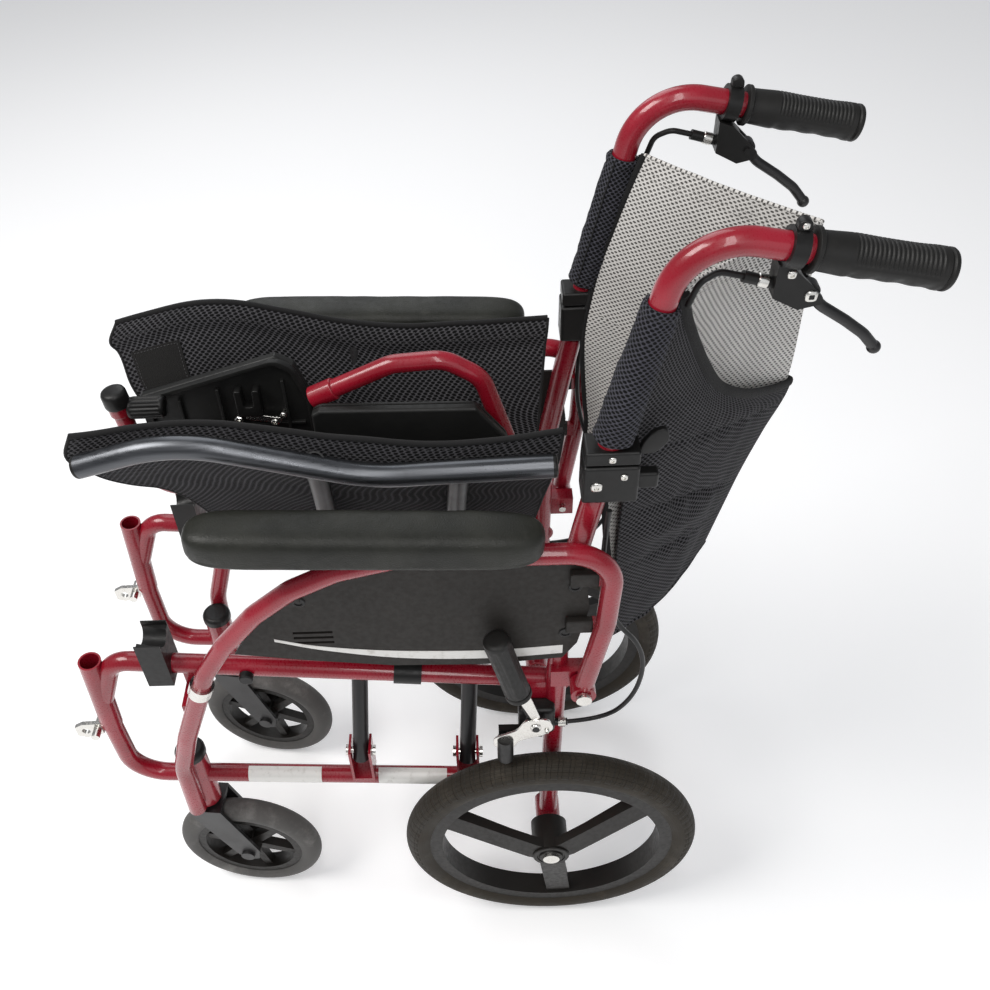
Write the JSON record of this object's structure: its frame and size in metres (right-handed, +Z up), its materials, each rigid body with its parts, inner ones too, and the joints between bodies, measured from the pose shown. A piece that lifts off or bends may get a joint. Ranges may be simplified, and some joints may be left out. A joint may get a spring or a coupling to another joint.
{
  "type": "transport wheelchair",
  "caption": "Folding transport wheelchair folded flat, with crossed braces, swing-back armrests, small rear wheels, casters, push canes with brake levers and footrests stowed in the seat.",
  "frame": {"origin": "on the floor under the centre of the folded chair", "axes": "+Z up, the chair's front faces -Y, +X is the occupant's left"},
  "size_m": [0.3764, 0.834, 1.003],
  "materials": {
    "red_frame": "glossy crimson enamel",
    "black_brace": "satin black powder coat",
    "bright_steel": "bright plated",
    "grey_rail": "grey anodised, polished",
    "black_plastic": "moulded satin black",
    "rear_tyre": "charcoal rubber with fine tread",
    "caster_tyre": "smooth grey solid tyre",
    "wheel_plastic": "brown-black moulded wheel",
    "arm_pad": "black grained vinyl",
    "side_panel": "charcoal fine texture",
    "grip_rubber": "ribbed black rubber",
    "dark_mesh": "dark grey spacer mesh",
    "light_mesh": "light grey spacer mesh",
    "cable_sheath": "glossy black cable housing"
  },
  "bodies": {
    "left_frame": {"side_frame_left": "red_frame", "frame_fittings_left": "bright_steel", "seat_saddles_left": "black_plastic", "brake_body_left": "black_plastic", "brake_cable_left": "cable_sheath", "back_hinge_left": "black_plastic"},
    "left_wheel": {"rear_tyre_left": "rear_tyre", "rear_rim_left": "wheel_plastic"},
    "left_caster_fork": {"caster_fork_left": "black_brace"},
    "left_caster_wheel": {"caster_tyre_left": "caster_tyre", "caster_rim_left": "wheel_plastic"},
    "left_armrest": {"arm_tube_left": "red_frame", "arm_pad_left": "arm_pad", "side_panel_left": "side_panel"},
    "left_latch": {"arm_latch_left": "black_plastic"},
    "left_brake_handle": {"brake_handle_left": "black_plastic"},
    "left_cane": {"cane_left": "red_frame", "cane_collar_left": "black_plastic", "cane_sleeve_left": "dark_mesh", "push_grip_left": "grip_rubber", "brake_bracket_left": "black_plastic"},
    "left_brake_lever": {"brake_lever_left": "black_plastic"},
    "left_back": {"back_panel_left": "light_mesh"},
    "left_flap": {"back_flap_left": "dark_mesh"},
    "left_seat": {"seat_panel_left": "dark_mesh"},
    "right_frame": {"side_frame_right": "red_frame", "frame_fittings_right": "bright_steel", "seat_saddles_right": "black_plastic", "brake_body_right": "black_plastic", "brake_cable_right": "cable_sheath", "back_hinge_right": "black_plastic"},
    "right_wheel": {"rear_tyre_right": "rear_tyre", "rear_rim_right": "wheel_plastic"},
    "right_caster_fork": {"caster_fork_right": "black_brace"},
    "right_caster_wheel": {"caster_tyre_right": "caster_tyre", "caster_rim_right": "wheel_plastic"},
    "right_armrest": {"arm_tube_right": "red_frame", "arm_pad_right": "arm_pad", "side_panel_right": "side_panel"},
    "right_latch": {"arm_latch_right": "black_plastic"},
    "right_brake_handle": {"brake_handle_right": "black_plastic"},
    "right_cane": {"cane_right": "red_frame", "cane_collar_right": "black_plastic", "cane_sleeve_right": "dark_mesh", "push_grip_right": "grip_rubber", "brake_bracket_right": "black_plastic"},
    "right_brake_lever": {"brake_lever_right": "black_plastic"},
    "right_back": {"back_panel_right": "light_mesh"},
    "right_flap": {"back_flap_right": "dark_mesh"},
    "right_seat": {"seat_panel_right": "dark_mesh"},
    "brace_a": {"brace_a": "black_brace", "brace_bolts": "bright_steel", "seat_rail_right": "grey_rail"},
    "brace_b": {"brace_b": "black_brace", "seat_rail_left": "grey_rail"},
    "footrest_1": {"footrest_tube_1": "red_frame"},
    "footrest_2": {"footrest_tube_2": "red_frame"},
    "footplate_1": {"footplate_1": "black_plastic"},
    "footplate_2": {"footplate_2": "black_plastic"}
  },
  "joints": [
    {"name": "fold", "type": "hinge", "parent": "left_frame", "child": "brace_a", "pos_m": [0.104, -0.022, 0.303], "axis": [0, -0.9979, 0.0645], "range_deg": [0, 41]},
    {"name": "brace_cross", "type": "hinge", "parent": "brace_a", "child": "brace_b", "pos_m": [0, -0.00674, 0.53901], "axis": [0, 0.9979, -0.0645], "range_deg": [0, 83]},
    {"name": "right_frame_pivot", "type": "hinge", "parent": "brace_b", "child": "right_frame", "pos_m": [-0.104, -0.022, 0.303], "axis": [0, -0.9979, 0.0645], "range_deg": [0, 42]},
    {"name": "left_seat_drape", "type": "hinge", "parent": "brace_b", "child": "left_seat", "pos_m": [0.088, -0.04602, 0.78556], "axis": [0, 0.9979, -0.0645], "range_deg": [0, 19.7]},
    {"name": "right_seat_drape", "type": "hinge", "parent": "brace_a", "child": "right_seat", "pos_m": [-0.088, -0.04602, 0.78556], "axis": [0, -0.9979, 0.0645], "range_deg": [0, 19.7]},
    {"name": "footrest_1_carry", "type": "hinge", "parent": "brace_a", "child": "footrest_1", "pos_m": [0, -0.00674, 0.53901], "axis": [0, 0.9979, -0.0645], "range_deg": [0, 42]},
    {"name": "footrest_2_carry", "type": "hinge", "parent": "brace_a", "child": "footrest_2", "pos_m": [0, -0.00674, 0.53901], "axis": [0, 0.9979, -0.0645], "range_deg": [0, 42]},
    {"name": "footplate_1_flip", "type": "hinge", "parent": "footrest_1", "child": "footplate_1", "pos_m": [0, -0.161, 0.657], "axis": [0, -1, 0], "range_deg": [0, 9]},
    {"name": "footplate_2_flip", "type": "hinge", "parent": "footrest_2", "child": "footplate_2", "pos_m": [0, -0.011, 0.657], "axis": [0, 1, 0], "range_deg": [0, 9]},
    {"name": "left_back_fold", "type": "hinge", "parent": "left_frame", "child": "left_cane", "pos_m": [0.118, 0.205, 0.7873], "axis": [-1, 0, 0], "range_deg": [0, 90], "deforming": ["back_flap_left"]},
    {"name": "left_back_drape", "type": "hinge", "parent": "left_cane", "child": "left_back", "pos_m": [0.09849, 0.15014, 0.85], "axis": [-0.2063, 0.1018, 0.9732], "range_deg": [0, 57.55]},
    {"name": "left_flap_drape", "type": "hinge", "parent": "left_frame", "child": "left_flap", "pos_m": [0.09605, 0.11468, 0.64], "axis": [0.0769, 0.1622, 0.9838], "range_deg": [0, 55.99]},
    {"name": "left_wheel_spin", "type": "hinge", "parent": "left_frame", "child": "left_wheel", "pos_m": [0.152, 0.139, 0.178], "axis": [1, 0, 0], "continuous": true},
    {"name": "left_caster_swivel", "type": "hinge", "parent": "left_frame", "child": "left_caster_fork", "pos_m": [0.104, -0.293, 0.26], "axis": [0, 0, 1], "continuous": true},
    {"name": "left_caster_spin", "type": "hinge", "parent": "left_caster_fork", "child": "left_caster_wheel", "pos_m": [0.10723, -0.25614, 0.095], "axis": [0.9962, -0.0872, 0], "continuous": true},
    {"name": "left_arm_flip", "type": "hinge", "parent": "left_frame", "child": "left_armrest", "pos_m": [0.148, 0.167, 0.487], "axis": [-1, 0, 0], "range_deg": [0, 95]},
    {"name": "left_parking_brake", "type": "hinge", "parent": "left_frame", "child": "left_brake_handle", "pos_m": [0.147, 0.119, 0.424], "axis": [1, 0, 0], "range_deg": [0, 35]},
    {"name": "left_hand_brake", "type": "hinge", "parent": "left_cane", "child": "left_brake_lever", "pos_m": [0.114, 0.317, 0.946], "axis": [1, 0, 0], "range_deg": [0, 14], "stiffness_Nm_per_rad": 1},
    {"name": "left_latch_pull", "type": "slide", "parent": "left_frame", "child": "left_latch", "axis": [1, 0, 0], "range_m": [0, 0.005], "stiffness_N_per_m": 200},
    {"name": "right_back_fold", "type": "hinge", "parent": "right_frame", "child": "right_cane", "pos_m": [-0.118, 0.205, 0.7873], "axis": [-1, 0, 0], "range_deg": [0, 90], "deforming": ["back_flap_right"]},
    {"name": "right_back_drape", "type": "hinge", "parent": "right_cane", "child": "right_back", "pos_m": [-0.09849, 0.15014, 0.85], "axis": [-0.2063, -0.1018, -0.9732], "range_deg": [0, 57.55]},
    {"name": "right_flap_drape", "type": "hinge", "parent": "right_frame", "child": "right_flap", "pos_m": [-0.09605, 0.11468, 0.64], "axis": [0.0769, -0.1622, -0.9838], "range_deg": [0, 55.99]},
    {"name": "right_wheel_spin", "type": "hinge", "parent": "right_frame", "child": "right_wheel", "pos_m": [-0.152, 0.139, 0.178], "axis": [1, 0, 0], "continuous": true},
    {"name": "right_caster_swivel", "type": "hinge", "parent": "right_frame", "child": "right_caster_fork", "pos_m": [-0.104, -0.293, 0.26], "axis": [0, 0, 1], "continuous": true},
    {"name": "right_caster_spin", "type": "hinge", "parent": "right_caster_fork", "child": "right_caster_wheel", "pos_m": [-0.09821, -0.25646, 0.095], "axis": [0.9877, -0.1564, 0], "continuous": true},
    {"name": "right_arm_flip", "type": "hinge", "parent": "right_frame", "child": "right_armrest", "pos_m": [-0.148, 0.167, 0.487], "axis": [-1, 0, 0], "range_deg": [0, 95]},
    {"name": "right_parking_brake", "type": "hinge", "parent": "right_frame", "child": "right_brake_handle", "pos_m": [-0.147, 0.119, 0.424], "axis": [1, 0, 0], "range_deg": [0, 35]},
    {"name": "right_hand_brake", "type": "hinge", "parent": "right_cane", "child": "right_brake_lever", "pos_m": [-0.114, 0.317, 0.946], "axis": [1, 0, 0], "range_deg": [0, 14], "stiffness_Nm_per_rad": 1},
    {"name": "right_latch_pull", "type": "slide", "parent": "right_frame", "child": "right_latch", "axis": [-1, 0, 0], "range_m": [0, 0.005], "stiffness_N_per_m": 200}
  ],
  "couplings": [
    {"joint": "brace_cross", "follows": "fold", "ratio": 2},
    {"joint": "right_frame_pivot", "follows": "fold", "ratio": 1},
    {"joint": "left_seat_drape", "follows": "fold", "ratio": 0.4561},
    {"joint": "right_seat_drape", "follows": "fold", "ratio": 0.4561},
    {"joint": "footrest_1_carry", "follows": "fold", "ratio": 1},
    {"joint": "footrest_2_carry", "follows": "fold", "ratio": 1},
    {"joint": "left_back_drape", "follows": "fold", "ratio": 1.3793},
    {"joint": "left_flap_drape", "follows": "fold", "ratio": 1.3413},
    {"joint": "right_back_drape", "follows": "fold", "ratio": 1.3793},
    {"joint": "right_flap_drape", "follows": "fold", "ratio": 1.3413},
    {"joint": "right_back_fold", "follows": "left_back_fold", "ratio": 1}
  ]
}
